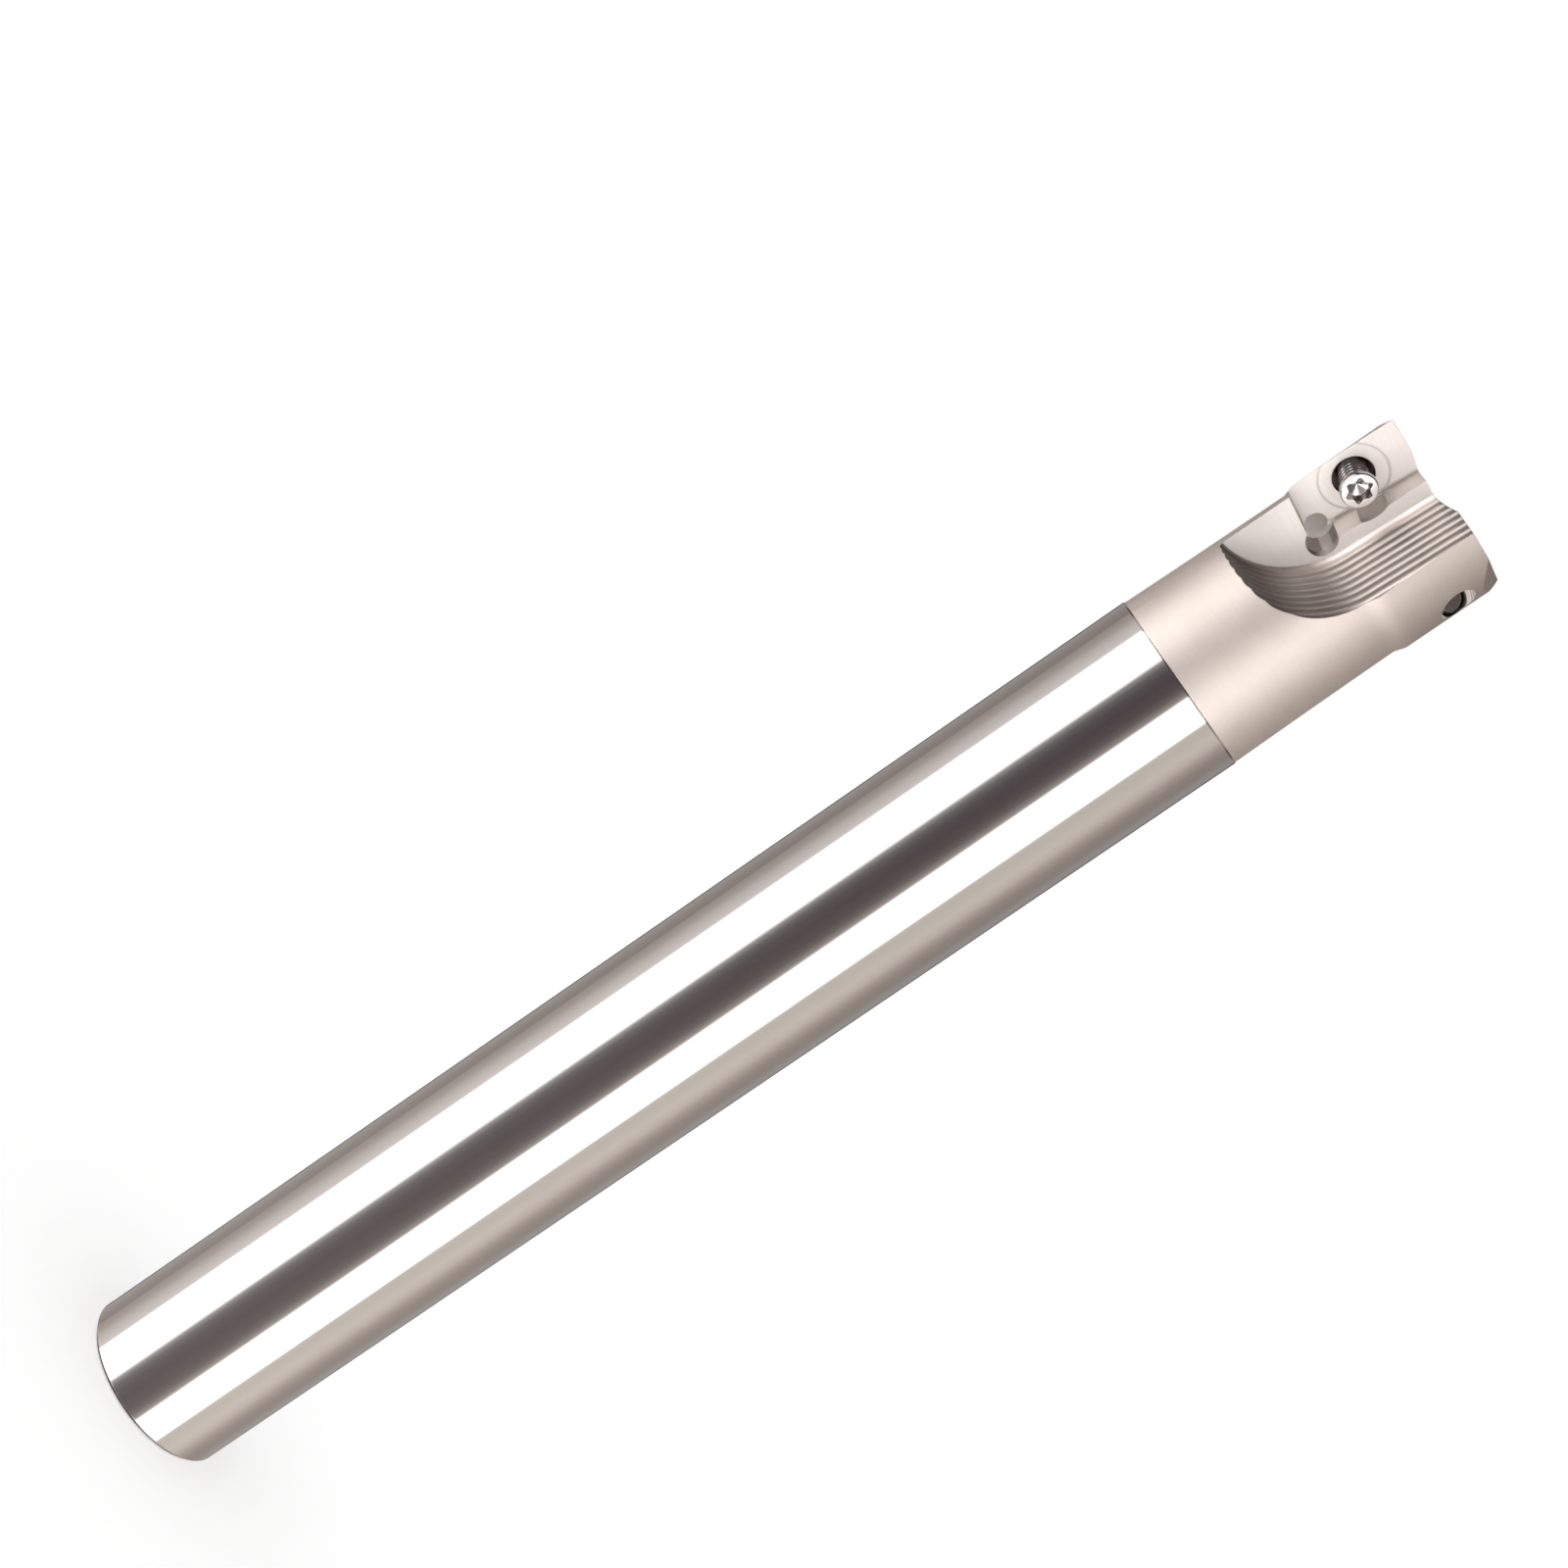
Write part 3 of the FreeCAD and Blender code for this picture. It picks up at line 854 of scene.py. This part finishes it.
def thread_radius(up, turn):
    """Radius of the screw's thread at a height and an angle, run out to the tip."""
    phase = (up / THREAD_PITCH - turn / math.tau) % 1.0
    valley = 1.0 - abs(2.0 * phase - 1.0)
    below_crest = (valley - THREAD_CREST_SHARE) / (1.0 - THREAD_CREST_SHARE)
    depth = THREAD_DEPTH * min(1.0, max(0.0, below_crest))
    tip = max(0.0, 1.0 - (up - SCREW_TIP) / THREAD_TIP_LENGTH) * THREAD_TIP_LENGTH
    return THREAD_RADIUS - max(depth, tip)


def socket_radius(turn):
    """Radius of the lobed socket at an angle, with one lobe along the tool."""
    wave = 0.5 + 0.5 * math.cos(SOCKET_LOBES * (turn - math.pi / 2))
    lobe_length = SOCKET_OUTER_RADIUS - SOCKET_WAIST_RADIUS
    return SOCKET_WAIST_RADIUS + lobe_length * wave ** SOCKET_LOBE_SHARPNESS


def thread_ring(up):
    return up, lambda turn: thread_radius(up, turn)


def round_ring(up, radius):
    return up, lambda turn: radius


def screw_rings():
    """Rings of the screw from its tip, over the head and down into the socket: height and radius."""
    rim_low = SCREW_TOP - SCREW_RIM_HEIGHT
    cone_low = rim_low - SCREW_CONE_HEIGHT
    length = cone_low - SCREW_TIP
    count = math.ceil(length / THREAD_PITCH * THREAD_RINGS_PER_TURN)
    rings = [thread_ring(SCREW_TIP + length * index / count) for index in range(count + 1)]
    rings.append(round_ring(cone_low, THREAD_RADIUS))
    rings.append(round_ring(rim_low, SCREW_HEAD_RADIUS))
    for index in range(SCREW_RIM_STEPS + 1):
        bend = math.pi / 2 * index / SCREW_RIM_STEPS
        radius = SCREW_HEAD_RADIUS - SCREW_RIM_ROUND * (1.0 - math.cos(bend))
        up = SCREW_TOP - SCREW_RIM_ROUND * (1.0 - math.sin(bend))
        rings.append(round_ring(up, radius))
    bottom = SCREW_TOP - SOCKET_DEPTH
    rings.append((SCREW_TOP, lambda turn: socket_radius(turn) + SOCKET_LEAD))
    rings.append((SCREW_TOP - SOCKET_LEAD, socket_radius))
    rings.append((bottom, socket_radius))
    rings.append(round_ring(bottom, SOCKET_WAIST_RADIUS))
    return rings, bottom - SOCKET_POINT_DEPTH


def screw_mesh():
    """Points and faces of the screw: its rings, closed at the tip and at the socket's point."""
    rings, point = screw_rings()
    vertices = []
    for up, radius_at in rings:
        for index in range(SCREW_STEPS):
            turn = math.tau * index / SCREW_STEPS
            radius = radius_at(turn)
            vertices.append((radius * math.cos(turn), radius * math.sin(turn), up))
    tip_centre = len(vertices)
    vertices.append((0.0, 0.0, SCREW_TIP))
    socket_centre = len(vertices)
    vertices.append((0.0, 0.0, point))
    faces = []
    last = (len(rings) - 1) * SCREW_STEPS
    for index in range(SCREW_STEPS):
        following = (index + 1) % SCREW_STEPS
        faces.append((following, index, tip_centre))
        for ring in range(len(rings) - 1):
            low = ring * SCREW_STEPS
            high = low + SCREW_STEPS
            faces.append((low + index, low + following, high + following, high + index))
        faces.append((last + index, last + following, socket_centre))
    return vertices, faces


def screw_matrix(half_turns):
    """Frame on the pocket floor: X across, Z along the screw, turned to its own flute."""
    across, up = screw_axes()
    matrix = Matrix((across, up.cross(across), up)).transposed().to_4x4()
    matrix.translation = Vector(SCREW_PLACE)
    return Matrix.Rotation(math.pi * half_turns, 4, "Z") @ matrix


def build_screw(node, half_turns, material):
    """Screw with its thread and shaped socket, in place of the plain one."""
    vertices, faces = screw_mesh()
    piece = mesh_object(node + "_detailed", vertices, faces)
    piece.data.shade_smooth()
    piece.data.set_sharp_from_angle(angle=math.radians(SHARP_EDGE_ANGLE))
    for face in piece.data.polygons:
        if len(face.vertices) == TRIANGLE_CORNERS:
            face.use_smooth = False
    piece.data.materials.append(material)
    piece.matrix_world = screw_matrix(half_turns)
    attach(piece, "root")
    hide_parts(node)


def dress(node, material):
    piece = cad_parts[node]
    piece.data.materials.clear()
    piece.data.materials.append(material)


set_up_camera()
set_up_world()
set_up_floor()
set_up_tent()
dress("holder_body", holder_material())
screw_steel = screw_material()
for half_turns, node in enumerate(("clamp_screw_1", "clamp_screw_2")):
    build_screw(node, half_turns, screw_steel)

view = bpy.context.scene.view_settings
view.view_transform = "Standard"
